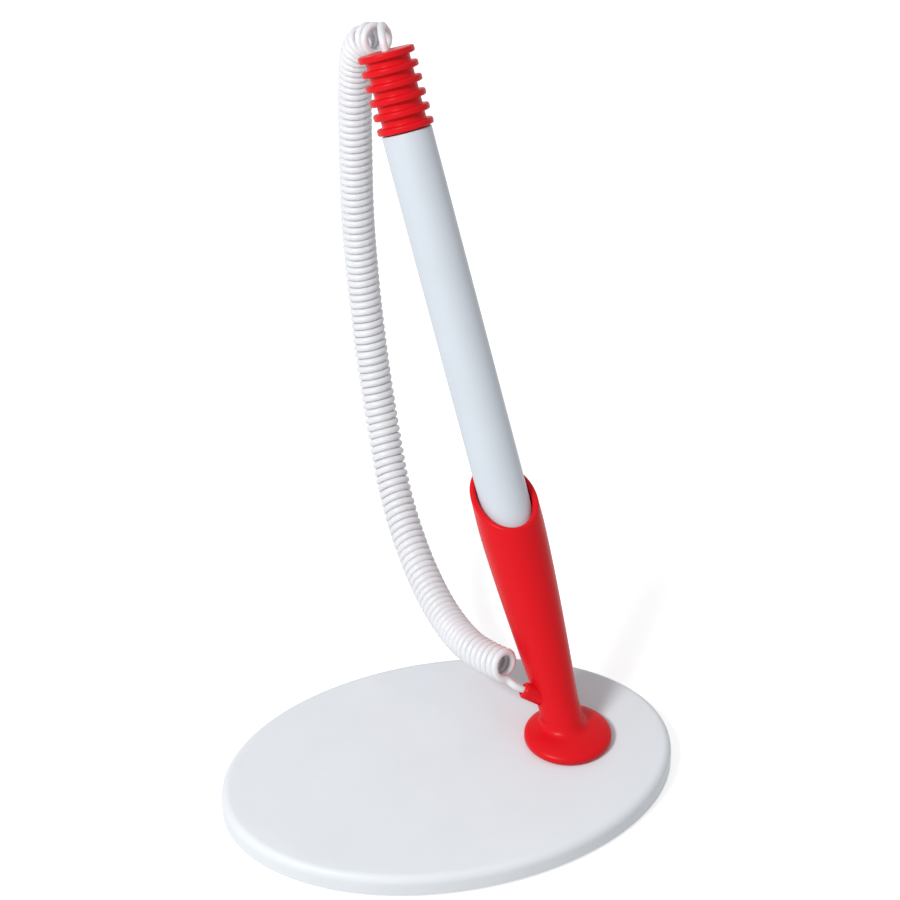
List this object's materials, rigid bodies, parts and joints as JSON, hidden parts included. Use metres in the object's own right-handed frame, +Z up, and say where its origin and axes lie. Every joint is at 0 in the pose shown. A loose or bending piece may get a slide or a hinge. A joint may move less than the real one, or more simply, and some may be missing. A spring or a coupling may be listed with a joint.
{
  "type": "counter pen on a stand",
  "caption": "Counter pen leaning in a swivelling quill-cut holder on an oval stand, tied to the holder by a coiled cord.",
  "frame": {"origin": "middle of the pad's underside, on the table", "axes": "+Z up, +X along the oval stand's long axis towards the holder, +Y to the back, where the pen leans"},
  "size_m": [0.102, 0.1338, 0.1465],
  "materials": {
    "white_plastic": "satin white moulding",
    "red_plastic": "glossy red moulding",
    "cord_plastic": "soft white extrusion",
    "tube_plastic": "translucent tube",
    "foam": "matt foam",
    "steel": "plated",
    "brass": "turned"
  },
  "bodies": {
    "stand": {"base_plate": "white_plastic", "base_pad": "foam"},
    "socket": {"holder": "red_plastic", "pivot_screw": "steel", "pivot_washer": "steel", "coil_cord": "cord_plastic"},
    "pen": {"barrel": "white_plastic", "nose_cone": "white_plastic", "rear_cap": "red_plastic", "cord_plug": "cord_plastic", "ink_tube": "tube_plastic", "tip_collar": "brass", "writing_tip": "steel", "writing_ball": "steel"}
  },
  "joints": [
    {"name": "swivel", "type": "hinge", "parent": "stand", "child": "socket", "pos_m": [0.028, 0, 0.0055], "axis": [0, 0, 1], "continuous": true},
    {"name": "pen_lift", "type": "slide", "parent": "socket", "child": "pen", "axis": [-0.1142, 0.4868, 0.866], "range_m": [0, 0.055], "deforming": ["coil_cord"]}
  ]
}
